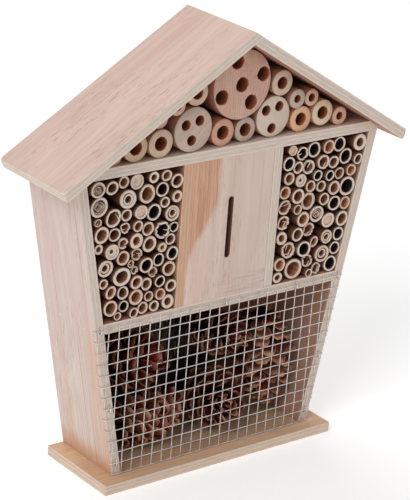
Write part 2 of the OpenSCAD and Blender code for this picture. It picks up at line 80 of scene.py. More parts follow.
class Graph:
    """The node tree of one material, with a short call for each kind of node."""

    def __init__(self, name):
        self.material = bpy.data.materials.new(name)
        self.material.use_nodes = True
        self.tree = self.material.node_tree
        self.tree.nodes.clear()
        self.place = self.node("ShaderNodeTexCoord").outputs["Object"]
        self.parts = self.split(self.place)
        self.normal = self.node("ShaderNodeNewGeometry").outputs["Normal"]

    def node(self, kind, values=(), **settings):
        made = self.tree.nodes.new(kind)
        for key, value in settings.items():
            setattr(made, key, value)
        for key, value in (values.items() if isinstance(values, dict) else enumerate(values)):
            self.feed(made.inputs[key], value)
        return made

    def feed(self, socket, value):
        if isinstance(value, bpy.types.NodeSocket):
            self.tree.links.new(value, socket)
        elif value is not None:
            socket.default_value = value

    def math(self, operation, *values):
        return self.node("ShaderNodeMath", values, operation=operation).outputs[0]

    def times(self, one, two):
        return self.math("MULTIPLY", one, two)

    def plus(self, one, two):
        return self.math("ADD", one, two)

    def minus(self, one, two):
        return self.math("SUBTRACT", one, two)

    def linear(self, value, factor, offset):
        """The value times the factor, plus the offset."""
        return self.math("MULTIPLY_ADD", value, factor, offset)

    def dot(self, vector, axis):
        values = (vector, tuple(axis))
        return self.node("ShaderNodeVectorMath", values, operation="DOT_PRODUCT").outputs["Value"]

    def join(self, x, y, z):
        return self.node("ShaderNodeCombineXYZ", (x, y, z)).outputs[0]

    def split(self, vector):
        return self.node("ShaderNodeSeparateXYZ", (vector,)).outputs

    def stretch(self, parts, scales, shift=0.0):
        """Three coordinates, each times its own scale, moved by shift so patterns differ."""
        scaled = [self.linear(part, scale, shift + 3.7 * k)
                  for k, (part, scale) in enumerate(zip(parts, scales))]
        return self.join(*scaled)

    def noise(self, vector, scale=1.0, detail=2.0, rough=0.5):
        values = {"Vector": vector, "Scale": scale, "Detail": detail, "Roughness": rough}
        return self.node("ShaderNodeTexNoise", values).outputs[0]

    def grain(self, parts, scales, shift, detail, rough=0.5):
        """Noise of this many octaves, drawn out along each coordinate by its own scale."""
        return self.noise(self.stretch(parts, scales, shift), detail=detail, rough=rough)

    def cells(self, vector, scale):
        values = {"Vector": vector, "Scale": scale}
        return self.node("ShaderNodeTexVoronoi", values).outputs["Distance"]

    def step(self, value, low, high, start=0.0, end=1.0):
        """A smooth step from start to end as value goes from low to high."""
        values = (value, low, high, start, end)
        return self.node("ShaderNodeMapRange", values, interpolation_type="SMOOTHSTEP").outputs[0]

    def ramp(self, value, stops):
        made = self.node("ShaderNodeValToRGB", (value,))
        points = made.color_ramp
        while len(points.elements) < len(stops):
            points.elements.new(0.5)
        for element, (place, colour) in zip(points.elements, stops):
            element.position = place
            element.color = colour
        return made.outputs[0]

    def mix(self, factor, first, second, blend="MIX"):
        made = self.node("ShaderNodeMix", data_type="RGBA", blend_type=blend)
        self.feed(made.inputs[0], factor)
        self.feed(made.inputs[6], first)
        self.feed(made.inputs[7], second)
        return made.outputs[2]

    def shade(self, colour, value, low, high, start, end):
        """The colour times start, changing to end as value goes from low to high."""
        amount = self.step(value, low, high, start, end)
        return self.mix(1.0, colour, self.join(amount, amount, amount), "MULTIPLY")

    def attribute(self, name):
        made = self.node("ShaderNodeAttribute", attribute_name=name)
        return made.outputs["Color"], made.outputs["Alpha"]

    def finish(self, colour, roughness, height=None, lift=0.0002, strength=0.6, **sockets):
        """Ends the tree in a Principled shader, with a bump of the given height."""
        shader = self.node("ShaderNodeBsdfPrincipled")
        self.feed(shader.inputs["Base Color"], colour)
        self.feed(shader.inputs["Roughness"], roughness)
        for name, value in sockets.items():
            self.feed(shader.inputs[name.replace("_", " ")], value)
        if height is not None:
            values = {"Height": height, "Strength": strength, "Distance": lift}
            bump = self.node("ShaderNodeBump", values)
            self.feed(shader.inputs["Normal"], bump.outputs[0])
        out = self.node("ShaderNodeOutputMaterial")
        self.feed(out.inputs["Surface"], shader.outputs[0])
        return self.material


# ----- Plywood -----

# A face's tones are its own, a pinker and a creamier one; an edge's are its light plies,
# its dark plies and the glue lines.
VENEER = (srgb(226, 204, 192), srgb(222, 196, 182), srgb(224, 206, 190))
BASE_TONES = (srgb(227, 191, 158), srgb(221, 181, 148), srgb(229, 197, 160))
WALL_TONES = (srgb(214, 194, 186), srgb(210, 189, 180), srgb(214, 199, 188))
ROOF_TONES = (srgb(226, 197, 184), srgb(224, 193, 180), srgb(228, 200, 185))
EDGE = (srgb(222, 207, 194), srgb(212, 196, 182), srgb(196, 178, 163))
BASE_EDGE = (srgb(222, 202, 184), srgb(212, 188, 168), srgb(200, 172, 150))
ORANGE_EDGE = (srgb(214, 176, 148), srgb(205, 165, 136), srgb(196, 152, 124))
PORE = srgb(172, 128, 106)
ORANGE = srgb(212, 164, 132)


def plywood(name, grain, thick, start, seed, depth=ply_t, tones=VENEER, streaks=0.6,
            dashes=0.6, lines=0.22, edge=EDGE, zone=None, scorch_and_shade=None):
    """Plywood whose face grain runs along grain and whose plies lie across thick.
    start is where the lowest ply begins along thick, and depth is the board's thickness.
    streaks, dashes and lines say how much orange, how many dark pores and how many fine
    dark lines show. zone may repaint the faces, and the last function may repaint
    everything, as the slot's scorch and painted shade do."""
    graph = Graph(name)
    base, pink, cream = tones
    grain, thick = Vector(grain).normalized(), Vector(thick).normalized()
    along = graph.dot(graph.place, grain)
    side = graph.dot(graph.place, grain.cross(thick))
    deep = graph.minus(graph.dot(graph.place, thick), start)
    parts = (side, along, deep)

    bands = graph.grain(parts, (75, 5, 0), seed, 3)
    colour = graph.mix(graph.step(bands, 0.35, 0.65), pink, base)
    warm = graph.grain(parts, (34, 3, 0), seed + 11, 2)
    colour = graph.mix(graph.step(warm, 0.45, 0.7), colour, cream)

    contour = graph.grain(parts, (17, 1.7, 0), seed + 23, 2, rough=0.4)
    rings = graph.math("SINE", graph.times(contour, 150))
    fibre = graph.grain(parts, (2300, 40, 0), seed + 5, 2)
    colour = graph.shade(colour, rings, -1, 1, 0.955, 1.015)
    colour = graph.shade(colour, fibre, 0.2, 0.8, 0.94, 1.05)

    streak = graph.grain(parts, (52, 2.0, 0), seed + 31, 3)
    colour = graph.mix(graph.step(streak, 0.56, 0.74, 0, streaks), colour, ORANGE)
    if zone:
        colour = zone(graph, colour)

    fine = graph.grain(parts, (1700, 120, 0), seed + 41, 1)
    where = graph.grain(parts, (42, 15, 0), seed + 47, 2)
    pores = graph.times(graph.step(fine, 0.60, 0.70), graph.step(where, 0.40, 0.62))
    colour = graph.mix(graph.times(pores, dashes), colour, PORE)
    lined = graph.grain(parts, (1150, 9, 0), seed + 73, 2)
    colour = graph.mix(graph.step(lined, 0.56, 0.72, 0, lines), colour, PORE)

    light, dark, line = edge
    fuzz = graph.grain(parts, (130, 130, 2600), seed + 53, 3)
    wobble = graph.grain(parts, (60, 60, 300), seed + 59, 1)
    layer = graph.minus(graph.linear(deep, 1 / depth, graph.times(wobble, 0.06)), 0.03)
    plies = graph.ramp(layer, [
        (0.0, light), (0.19, light), (0.21, line), (0.24, dark), (0.38, dark), (0.41, line),
        (0.44, light), (0.57, light), (0.6, line), (0.63, dark), (0.77, dark), (0.8, line),
        (0.83, light), (1.0, light)])
    plies = graph.shade(plies, fuzz, 0.25, 0.75, 0.86, 1.08)
    facing = graph.math("ABSOLUTE", graph.dot(graph.normal, thick))
    colour = graph.mix(graph.step(facing, 0.55, 0.85), plies, colour)
    if scorch_and_shade:
        colour = scorch_and_shade(graph, colour)

    height = graph.linear(fibre, 0.35, graph.times(rings, 0.05))
    height = graph.minus(height, graph.times(pores, 0.6))
    height = graph.plus(height, graph.times(fuzz, 0.3))
    rough = graph.step(fibre, 0.2, 0.8, 0.72, 0.56)
    return graph.finish(colour, rough, height, lift=0.00025, strength=0.55,
                        Specular_IOR_Level=0.3)


def wall_zone(graph, colour):
    """Orange heartwood along the foot of the wall, and up its front edge in stripes."""
    edge_depth, edge_height, fade = 0.018, 0.125, 0.04
    parts = graph.parts
    ragged = graph.grain(parts, (60, 160, 22), 61, 4)
    up = graph.linear(ragged, -0.022, parts[2])
    up = graph.linear(parts[1], -0.10, up)
    foot = graph.step(up, base_top + 0.005, base_top - 0.006, 0, 0.65)
    stripes = graph.grain(parts, (0, 330, 9), 65, 3)
    edge = graph.step(parts[1], front_y + edge_depth, front_y + 0.004)
    low = graph.step(parts[2], edge_height, edge_height - fade)
    striped = graph.step(stripes, 0.42, 0.6, 0.15, 0.8)
    edge = graph.times(graph.times(edge, low), striped)
    colour = graph.mix(edge, colour, srgb(216, 164, 126))
    return graph.mix(foot, colour, srgb(212, 160, 122))


def panel_zone(graph, colour):
    """Orange-brown heartwood in the left part of the panel, narrowing downwards, and
    scuffs along the panel's foot. The heartwood's right edge is at edge_x below and
    further right by spread above."""
    edge_x, spread = -0.0325, 0.0225
    parts = graph.parts
    ragged = graph.grain(parts, (260, 0, 30), 67, 3)
    low, high = shelf_high.z, top_low.z
    fall = graph.step(parts[2], low + 0.024, high - 0.024, 0, 1)
    bound = graph.linear(fall, spread, edge_x)
    bound = graph.linear(graph.minus(ragged, 0.5), 0.004, bound)
    inside = graph.minus(bound, parts[0])
    amount = graph.step(parts[2], low, low + 0.05, 0.35, 0.85)
    mask = graph.times(graph.step(inside, -0.002, 0.0035), amount)
    lines = graph.grain(parts, (900, 0, 26), 71, 3)
    brown = graph.mix(graph.step(lines, 0.35, 0.65), srgb(188, 132, 100), srgb(214, 168, 136))
    grey = graph.mix(0.45, colour, srgb(198, 184, 174))
    colour = graph.mix(graph.step(parts[0], -0.03, 0.03, 0.2, 0.9), colour, grey)
    colour = graph.mix(mask, colour, brown)
    scuff = graph.grain(parts, (40, 0, 560), 79, 4)
    foot = graph.step(parts[2], low + 0.010, low + 0.017, 1, 0)
    right = graph.step(parts[0], -0.012, 0.0)
    worn = graph.times(foot, graph.times(right, graph.step(scuff, 0.5, 0.68)))
    return graph.mix(graph.times(worn, 0.32), colour, srgb(158, 138, 128))


def slot_scorch_and_shade(graph, colour):
    """The slot's walls, scorched by the cutter and painted darker as shade inside the narrow slot.
    The slot is a little narrower and shorter than half_w and half_h make it."""
    half_w, half_h = 0.0026, 0.0245
    parts = graph.parts
    off = graph.math("ABSOLUTE", parts[0])
    up = graph.math("ABSOLUTE", graph.minus(parts[2], (shelf_high.z + top_low.z) / 2))
    inside = graph.times(graph.step(off, half_w, half_w - 0.0002),
                         graph.step(up, half_h, half_h - 0.0005))
    deep = graph.step(parts[1], front_y + 0.0002, front_y + 0.0008)
    grain = graph.grain(parts, (200, 900, 60), 89, 2)
    # Scorch and painted shade: the slot's walls, from just behind the front face, in dark brown.
    scorched_and_shaded = graph.mix(grain, srgb(98, 64, 48), srgb(134, 94, 74))
    return graph.mix(graph.times(inside, deep), colour, scorched_and_shaded)


def inward(graph, axis, colour, tint):
    """The colour, tinted as painted shade on the faces that point along axis."""
    facing = graph.step(graph.dot(graph.normal, axis), 0.3, 0.7)
    return graph.mix(facing, colour, graph.mix(1.0, colour, tint, "MULTIPLY"))


def shaded_inside(*axes, tint=srgb(222, 182, 158), then=None):
    """Painted shade: plywood browner on its faces inside the house, which point along axes."""
    def zone(graph, colour):
        for axis in axes:
            colour = inward(graph, axis, colour, tint)
        return then(graph, colour) if then else colour
    return zone


def back_painted_shade(graph, colour):
    """Painted shade: the back panel's inner face is browner, and painted nearly black as a
    shadow behind most of the cones, up to the middle shelf."""
    shadow_top, shadow_right = 0.1085, 0.075
    parts = graph.parts
    ragged = graph.grain(parts, (40, 0, 40), 83, 3)
    along = graph.linear(ragged, 0.02, parts[0])
    below = graph.step(parts[2], shadow_top, shadow_top + 0.0035, 1, 0)
    # Painted shadow: nearly black behind the cones, below the middle shelf, with a ragged edge.
    stain_and_painted_shadow = graph.times(graph.step(along, shadow_right, 0.038), below)
    # Painted shade: the inner face is browner than the outer one.
    brown = inward(graph, (0, -1, 0), colour, srgb(198, 150, 122))
    dark = graph.mix(stain_and_painted_shadow, brown, srgb(15, 9, 8))
    facing = graph.step(graph.dot(graph.normal, (0, -1, 0)), 0.3, 0.7)
    return graph.mix(facing, colour, dark)


def wall_plywood(side, name, seed):
    """side is -1 for the left wall and 1 for the right one."""
    thick = Vector((side * cos(LEAN), 0, -sin(LEAN)))
    start = thick.dot(Vector((side * FOOT_X, 0, base_top))) - ply_t
    # The wall's inner face gets painted shade, browner than its outer face.
    return plywood(name, (side * sin(LEAN), 0, cos(LEAN)), thick, start, seed,
                   tones=WALL_TONES, dashes=0.4, lines=0.5,
                   zone=shaded_inside((-side, 0, 0), tint=srgb(234, 211, 198),
                             then=wall_zone if side < 0 else None))


def roof_plywood(side, name, seed):
    thick = Vector((side * sin(PITCH), 0, cos(PITCH)))
    start = thick.dot(Vector((0, 0, ridge_z))) - ply_t
    # The roof's underside gets painted shade, browner than its top.
    return plywood(name, (side * cos(PITCH), 0, -sin(PITCH)), thick, start, seed,
                   streaks=0.35, tones=ROOF_TONES,
                   zone=shaded_inside((0, 0, -1), tint=srgb(208, 176, 158)))


def coat(node, material):
    """Gives a CAD node one material."""
    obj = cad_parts[node]
    obj.data.materials.clear()
    obj.data.materials.append(material)
    return obj


def soften_edges(obj, width, clamp=False):
    """Rounds the sharp edges of a CAD node a little, as sanding does."""
    weld = obj.modifiers.new("weld", "WELD")
    weld.merge_threshold = 1e-6
    soften = obj.modifiers.new("soften", "BEVEL")
    soften.width = width
    soften.segments = 2
    soften.limit_method = "ANGLE"
    soften.angle_limit = radians(50)
    soften.use_clamp_overlap = clamp


X, Y, Z = (1, 0, 0), (0, 1, 0), (0, 0, 1)
DOWN, LEFT = (0, 0, -1), (-1, 0, 0)
SOFTENED = 0.35 * MM
back_low, back_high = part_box("back_panel")
divider_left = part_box("left_divider")[0].x
divider_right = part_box("right_divider")[0].x
# Faces that point into the compartments get painted shade, browner than the outer faces.
panels = {
    "base_plate": plywood("base_plywood", X, Z, 0, 3, tones=BASE_TONES, edge=BASE_EDGE,
                          streaks=0.5, dashes=0.35),
    "left_wall": wall_plywood(-1, "left_wall_plywood", 9),
    "right_wall": wall_plywood(1, "right_wall_plywood", 15),
    "middle_shelf": plywood("middle_shelf_plywood", X, Z, shelf_low.z, 19, zone=shaded_inside(Z, DOWN)),
    "upper_shelf": plywood("upper_shelf_plywood", X, Z, top_low.z, 27, zone=shaded_inside(DOWN)),
    "left_divider": plywood("left_divider_plywood", Z, X, divider_left, 33,
                            edge=ORANGE_EDGE, zone=shaded_inside(X, LEFT)),
    "right_divider": plywood("right_divider_plywood", Z, X, divider_right, 37,
                             zone=shaded_inside(X, LEFT)),
    "butterfly_panel": plywood("butterfly_plywood", Z, Y, front_y, 43, zone=panel_zone,
                               scorch_and_shade=slot_scorch_and_shade, dashes=0.4, streaks=0.15),
    "back_panel": plywood("back_plywood", Z, Y, back_low.y, 51,
                          depth=back_high.y - back_low.y, zone=back_painted_shade),
    "roof_left": roof_plywood(-1, "roof_left_plywood", 57),
    "roof_right": roof_plywood(1, "roof_right_plywood", 63),
}
for name, material in panels.items():
    panel = coat(name, material)
    # The back panel's own edges lie flush inside the walls, so they stay sharp.
    if name != "back_panel":
        soften_edges(panel, SOFTENED, clamp=name.startswith("roof"))


# ----- Shared mesh tools -----

def solids(node):
    """The boxes of a node's separate solids, as (lowest corner, highest corner), by x."""
    mesh = bmesh.new()
    mesh.from_mesh(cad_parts[node].data)
    bmesh.ops.remove_doubles(mesh, verts=mesh.verts, dist=1e-6)
    left = set(mesh.verts)
    boxes = []
    for first in list(mesh.verts):
        if first not in left:
            continue
        left.discard(first)
        queue, points = [first], []
        while queue:
            vert = queue.pop()
            points.append(vert.co.copy())
            for edge in vert.link_edges:
                other = edge.other_vert(vert)
                if other in left:
                    left.discard(other)
                    queue.append(other)
        low = Vector([min(p[k] for p in points) for k in range(3)])
        high = Vector([max(p[k] for p in points) for k in range(3)])
        boxes.append((low, high))
    mesh.free()
    return sorted(boxes, key=lambda box: round(box[0].x + box[1].x, 5))


def add_object(name, data):
    made = bpy.data.objects.new(name, data)
    bpy.context.scene.collection.objects.link(made)
    return made


def circle(count):
    """The angles of points spread evenly round a circle."""
    return [2 * pi * k / count for k in range(count)]


PLAIN = (0, 0, 0, 0)


class Shape:
    """A mesh in the making, whose vertices carry a look: four numbers for the material."""

    def __init__(self):
        self.mesh = bmesh.new()
        self.layer = self.mesh.verts.layers.float_color.new("look")

    def vert(self, place, look=PLAIN):
        made = self.mesh.verts.new(place)
        made[self.layer] = look
        return made

    def quad(self, *verts):
        if len(set(verts)) == len(verts):
            self.mesh.faces.new(verts)

    def skin(self, rings, closed=False):
        """Joins rings of equal counts of vertices, each a loop, one to the next."""
        for one, two in zip(rings, rings[1:] + rings[:1] if closed else rings[1:]):
            count = len(one)
            for k in range(count):
                n = (k + 1) % count
                self.quad(one[k], one[n], two[n], two[k])

    def ring(self, x, y, z, radius, count):
        """A plain ring of vertices round a line along Y."""
        return [self.vert((x + radius * cos(a), y, z + radius * sin(a)))
                for a in circle(count)]

    def cap(self, ring, place, look=PLAIN, flip=False):
        """Closes a ring with a fan around one vertex."""
        middle = self.vert(place, look)
        for k in range(len(ring)):
            n = (k + 1) % len(ring)
            pair = (ring[n], ring[k]) if flip else (ring[k], ring[n])
            self.mesh.faces.new((*pair, middle))

    def wire(self, points, radius, look=PLAIN, sides=8, taper=None):
        """A round bar through points, with closed ends."""
        rings = []
        up = Vector((0.13, 0.29, 0.95)).normalized()
        for k, point in enumerate(points):
            ahead = points[min(k + 1, len(points) - 1)] - points[max(k - 1, 0)]
            ahead.normalize()
            one = ahead.cross(up).normalized()
            two = ahead.cross(one).normalized()
            size = radius * (taper[k] if taper else 1)
            rings.append([
                self.vert(point + size * (cos(a) * one + sin(a) * two), look)
                for a in circle(sides)])
        self.skin(rings)
        self.cap(rings[0], points[0], look, flip=True)
        self.cap(rings[-1], points[-1], look)

    def piece(self, name, material, node, sharp=50):
        """Ends the mesh as a piece that rides on the body and replaces its node."""
        bmesh.ops.recalc_face_normals(self.mesh, faces=self.mesh.faces)
        data = bpy.data.meshes.new(name)
        self.mesh.to_mesh(data)
        self.mesh.free()
        data.materials.append(material)
        data.shade_smooth()
        data.set_sharp_from_angle(angle=radians(sharp))
        made = add_object(name, data)
        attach(made, "root")
        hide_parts(node)


def wave(angle, seed, size):
    """A smooth ripple around a circle, about size high, that is its own for each seed."""
    return size * sum(sin(k * angle + seed * (1.7 + k)) / k for k in (2, 3, 4))


# ----- Canes -----

def cane_material():
    """Reed cane: pale rims, fibrous skins and brown bores. The look's parts are the zone
    (0 deep skin, 0.12 skin, 0.5 rim, 1 bore), hue, darkness of the bore, and a number of
    its own. The deep skin behind the rim is painted dark brown as shade between the canes."""
    graph = Graph("cane")
    look, own = graph.attribute("look")
    parts = graph.node("ShaderNodeSeparateColor", (look,)).outputs
    zone, hue, dark = parts[0], parts[1], parts[2]
    place = graph.parts
    lines = graph.grain(place, (1500, 30, 1500), 5, 3)
    spots = graph.grain(place, (2600, 2600, 2600), 9, 2)
    blotch = graph.grain(place, (240, 60, 240), 13, 3)

    rim = graph.mix(hue, srgb(230, 214, 200), srgb(224, 194, 172))
    rim = graph.shade(rim, spots, 0.35, 0.7, 1.04, 0.72)
    skin = graph.mix(own, srgb(206, 182, 154), srgb(160, 116, 86))
    skin = graph.mix(graph.step(blotch, 0.5, 0.75, 0, 0.6), skin, srgb(124, 84, 62))
    skin = graph.shade(skin, lines, 0.3, 0.7, 0.75, 1.08)
    # Painted shade: the skin turns deep brown just behind the rim, in the shade between the canes.
    skin = graph.mix(graph.step(zone, 0.0, 0.13, 0.93, 0.15), skin, srgb(84, 46, 34))
    bore = graph.mix(hue, srgb(156, 106, 80), srgb(202, 144, 106))
    bore = graph.shade(bore, lines, 0.3, 0.7, 0.62, 1.3)
    bore = graph.mix(dark, bore, srgb(30, 24, 24))
    colour = graph.mix(graph.step(zone, 0.13, 0.34), skin, rim)
    colour = graph.mix(graph.step(zone, 0.62, 0.9), colour, bore)
    height = graph.linear(lines, 0.6, graph.times(spots, 0.4))
    rough = graph.step(zone, 0.1, 0.4, 0.45, 0.75)
    return graph.finish(colour, rough, height, lift=0.0002, strength=0.6,
                        Specular_IOR_Level=0.35)


CANE = cane_material()
RIM = 0.5
# How closed canes look, and how far the skin across them is raised: its edge, its middle.
CLOSED = {
    "c": ((RIM, 1.0, 0, 0.5), (0.7, 1.0, 0, 0.5), 0.35),
    "g": ((0.66, 0.3, 0.1, 0.5), (0.74, 0.0, 0.4, 0.5), -0.5),
    "h": ((RIM, 0.0, 0, 0.5), (0.9, 0.0, 0.8, 0.5), -0.2),
}
AROUND = 32
# The canes' looks, by node and then by x. b: brown bore, k: black bore, w: thick wall,
# o: orange bore, u: greenish bore, n: a cane in a cane, c: closed, g: closed by a grey
# skin, h: closed but for a small hole, p: a curl of dry leaf inside, t: torn rim,
# s: splinters across, d: torn and dark, r: thick and orange, l: long oval.
CANE_LOOKS = {
    "left_canes": ["bbbbbw", "lukbbob", "bbbbtkb", "nbttkkk", "whwsbrb", "bbtbdk", "ttbbckn",
                   "tpnbkbw", "pbbgwbb"],
    "right_canes": ["wbbtk", "osktnk", "wbtlnk", "sbpcb", "tbbbko", "obbbbk", "bhtkkbo",
                    "kbtbkb", "cdkokw"],
}


def tube(shape, middle, y0, y1, outer, inner, hue, dark, own, seed, torn=0.0, squash=1.0,
         turn=0.0):
    """A hollow cane along Y whose rim, skin and bore are slightly uneven."""
    x0, z0 = middle
    rings = [[] for _ in range(10)]
    for a in circle(AROUND):
        wide, tall = cos(a - turn), sin(a - turn) * squash
        lie = (cos(turn) * wide - sin(turn) * tall, sin(turn) * wide + cos(turn) * tall)
        out = outer * (1 - 0.02 - abs(wave(a, seed, 0.02)))
        hole = inner * (1 + wave(a, seed + 5, 0.05))
        edge = y0 + 0.1 * MM + wave(a, seed + 9, 0.12 * MM)
        if torn:
            tear = noise.noise(Vector((3 * cos(a), 3 * sin(a), seed)))
            edge += torn * max(0, tear) * 4 * MM
            edge += torn * random.random() * 0.5 * MM
        wall = out - hole
        # The skin from 2.6 mm behind the edge has look 0, which the material paints dark as shade.
        profile = [
            (out, y1, 0.0), (out, edge + 2.6 * MM, 0.0), (out, edge + 1 * MM, 0.04),
            (out - 0.06 * wall, edge + 0.25 * MM, 0.12),
            (out - 0.22 * wall, edge, 0.45),
            (hole + 0.22 * wall, edge + wave(a, seed + 2, 0.1 * MM), RIM),
            (hole + 0.04 * wall, edge + 0.25 * MM, 0.66), (hole, edge + 1.2 * MM, 0.95),
            (hole * 0.98, edge + 8 * MM, 1.0), (hole * 0.96, y1, 1.0)]
        for ring, (radius, y, zone) in zip(rings, profile):
            place = (x0 + radius * lie[0], y, z0 + radius * lie[1])
            ring.append(shape.vert(place, (zone, hue, dark, own)))
    shape.skin(rings, closed=True)


def disc(shape, middle, y, radius, look, dome, seed, pit):
    """A rough skin across a bore, raised by dome at its middle, where it has pit's look."""
    x0, z0 = middle
    rings = []
    for share in (1.0, 0.8, 0.55, 0.28):
        ring = []
        for a in circle(AROUND):
            r = radius * share * (1 + wave(a, seed, 0.02))
            lift = dome * (1 - share ** 2) + wave(a, seed + share * 9, 0.12 * MM)
            ring.append(shape.vert((x0 + r * cos(a), y - lift, z0 + r * sin(a)),
                                   pit if share < 0.5 else look))
        rings.append(ring)
    shape.skin(rings)
    shape.cap(rings[-1], (x0, y - dome, z0), pit)
    back = [shape.vert((v.co.x, y + 0.6 * MM, v.co.z), look) for v in rings[0]]
    shape.skin([back, rings[0]])
    shape.cap(back, (x0, y + 0.6 * MM, z0), look, flip=True)


def curl(shape, middle, y0, radius, turns, depth, look, seed):
    """A strip of dry leaf rolled up inside a bore."""
    x0, z0 = middle
    count = 34
    thick = 0.22 * MM
    loops = []
    for k in range(count + 1):
        share = k / count
        a = seed + 2 * pi * turns * share
        r = radius * (0.92 - 0.62 * share)
        edge = y0 + 0.4 * MM + 0.5 * MM * sin(3 * a + seed)
        one, two = Vector((cos(a), 0, sin(a))), Vector((x0, 0, z0))
        outer, inner = two + one * r, two + one * (r - thick)
        loops.append([
            shape.vert((outer.x, edge, outer.z), look), shape.vert((inner.x, edge, inner.z), look),
            shape.vert((inner.x, edge + depth, inner.z), look),
            shape.vert((outer.x, edge + depth, outer.z), look)])
    shape.skin(loops)
    shape.mesh.faces.new(loops[0])
    shape.mesh.faces.new(loops[-1][::-1])


def splinters(shape, middle, y0, radius, count, look, reach=1.0):
    """Thin slivers torn from the rim, leaning across the bore."""
    x0, z0 = middle

    def spot(a, r, low, high):
        return Vector((x0 + r * cos(a), y0 + random.uniform(low, high) * MM, z0 + r * sin(a)))

    for _ in range(count):
        a = random.uniform(0, 2 * pi)
        b = a + random.uniform(1.2, 2.6)
        start = spot(a, radius, 0.2, 1.4)
        share = random.uniform(0.1, 0.8) * reach
        end = spot(b, radius * share, -0.1, 2.2)
        bend = (start + end) / 2 + Vector((0, random.uniform(-0.5, 0.2) * MM, 0))
        shape.wire([start, (start + bend) / 2, bend, (bend + end) / 2, end],
                   random.uniform(0.22, 0.42) * MM, look, sides=5, taper=[1, 1, 0.8, 0.6, 0.2])


def cane(shape, box, kind, number):
    """One cane of the given kind in the space of its box in the frame."""
    low, high = box
    middle = ((low.x + high.x) / 2, (low.z + high.z) / 2)
    outer = (high.x - low.x) / 2
    hue, own = random.uniform(0, 0.7), random.random()
    bore = random.uniform(0.62, 0.71)
    dark = random.uniform(0.0, 0.28)
    torn, squash = 0.0, random.uniform(0.93, 1.0)
    turn = random.uniform(0, pi)
    seed = number * 1.618
    rim_look = (RIM, hue, 0, own)
    if kind in "kd":
        dark, hue = 0.97, hue * 0.3
        bore = 0.71
    if kind in "wr":
        bore = 0.52
    if kind == "r":
        bore, hue = 0.45, 0.9
    if kind == "o":
        hue, dark = 1.0, 0.0
    if kind == "u":
        hue, dark = 0.0, 0.15
    if kind == "l":
        squash, turn = 0.8, radians(60)
    if kind in "tds":
        torn = 1.0 if kind == "d" else 0.55
    inner = outer * bore
    tube(shape, middle, low.y, high.y, outer, inner, hue, dark, own, seed, torn, squash, turn)
    if kind == "n":
        shift = (middle[0] + 0.06 * outer * cos(seed), middle[1] + 0.06 * outer * sin(seed))
        tube(shape, shift, low.y + 0.3 * MM, low.y + 30 * MM, outer * 0.58, outer * 0.36,
             hue, 0.2, own, seed + 3, 0.1)
    if kind in CLOSED:
        look, pit, dome = CLOSED[kind]
        disc(shape, middle, low.y + 1.1 * MM, inner * 1.02, look, dome * MM, seed, pit)
    if kind == "p":
        curl(shape, middle, low.y, inner, 1.7, 12 * MM, (RIM, 0.35, 0, own), seed)
    if kind in "ts":
        splinters(shape, middle, low.y, inner, 1 if kind == "t" else 3, rim_look)
    if kind == "d":
        splinters(shape, middle, low.y, inner, 1, rim_look, 0.4)


random.seed(SEED)
number = 0
for stack, rows in CANE_LOOKS.items():
    for row, kinds in enumerate(rows, 1):
        node = f"{stack}_{row}"
        bundle = Shape()
        for box, kind in zip(solids(node), kinds):
            number += 1
            cane(bundle, box, kind, number)
        bundle.piece(f"{node}_reeds", CANE, node)


# ----- Logs and dowels -----

def log_material():
    """Turned wood: end grain in fine parallel lines on the faces, long grain on the sides.
    The look's parts are red, green and blue, and a number of its own."""
    graph = Graph("turned_wood")
    look, own = graph.attribute("look")
    place = graph.parts
    turn = graph.times(own, 6.283)
    cosine, sine = graph.math("COSINE", turn), graph.math("SINE", turn)
    lie = graph.plus(graph.times(place[0], cosine), graph.times(place[2], sine))
    cross = graph.minus(graph.times(place[2], cosine), graph.times(place[0], sine))
    bend = graph.grain((lie, cross, place[1]), (30, 30, 0), 3, 1)
    path = graph.linear(bend, 0.006, lie)
    rings = graph.math("SINE", graph.times(path, 5200))
    broad = graph.grain((path, cross, place[1]), (420, 60, 0), 7, 3)
    pores = graph.grain((path, cross, place[1]), (2600, 1700, 300), 11, 2)
    face = graph.shade(look, rings, -1, 1, 0.84, 1.06)
    face = graph.shade(face, broad, 0.3, 0.7, 0.93, 1.06)
    face = graph.shade(face, pores, 0.45, 0.75, 1.03, 0.82)
    fibre = graph.grain(place, (1400, 36, 1400), 17, 3)
    side = graph.mix(1.0, look, srgb(228, 190, 168), "MULTIPLY")
    side = graph.shade(side, fibre, 0.3, 0.7, 0.82, 1.06)
    # Painted shade: the sides turn deep brown from 1.5 mm behind the front, in the shade between
    # pieces.
    behind = graph.minus(place[1], front_y)
    side = graph.mix(graph.step(behind, 0.0015, 0.015, 0.05, 0.85), side, srgb(116, 74, 56))
    facing = graph.math("ABSOLUTE", graph.dot(graph.normal, (0, 1, 0)))
    colour = graph.mix(graph.step(facing, 0.4, 0.8), side, face)
    height = graph.linear(rings, 0.12, graph.times(pores, 0.6))
    height = graph.plus(height, graph.times(fibre, 0.4))
    rough = graph.step(pores, 0.3, 0.7, 0.62, 0.8)
    return graph.finish(colour, rough, height, lift=0.0003, strength=0.6,
                        Specular_IOR_Level=0.3)


TURNED = log_material()
BORE_TONE = srgb(172, 112, 82)
DRILLED = 40 * MM
CENTRE = [(0, 0)]
LARGE_HOLES = [(0, 0), (-15.5, -6.5), (16.5, 5), (8, -12.5), (-5, 15.5)]


def ring_holes(ring, *angles):
    """Holes on a circle at these angles, as places from the log's centre."""
    return [(ring * cos(radians(a)), ring * sin(radians(a))) for a in angles]


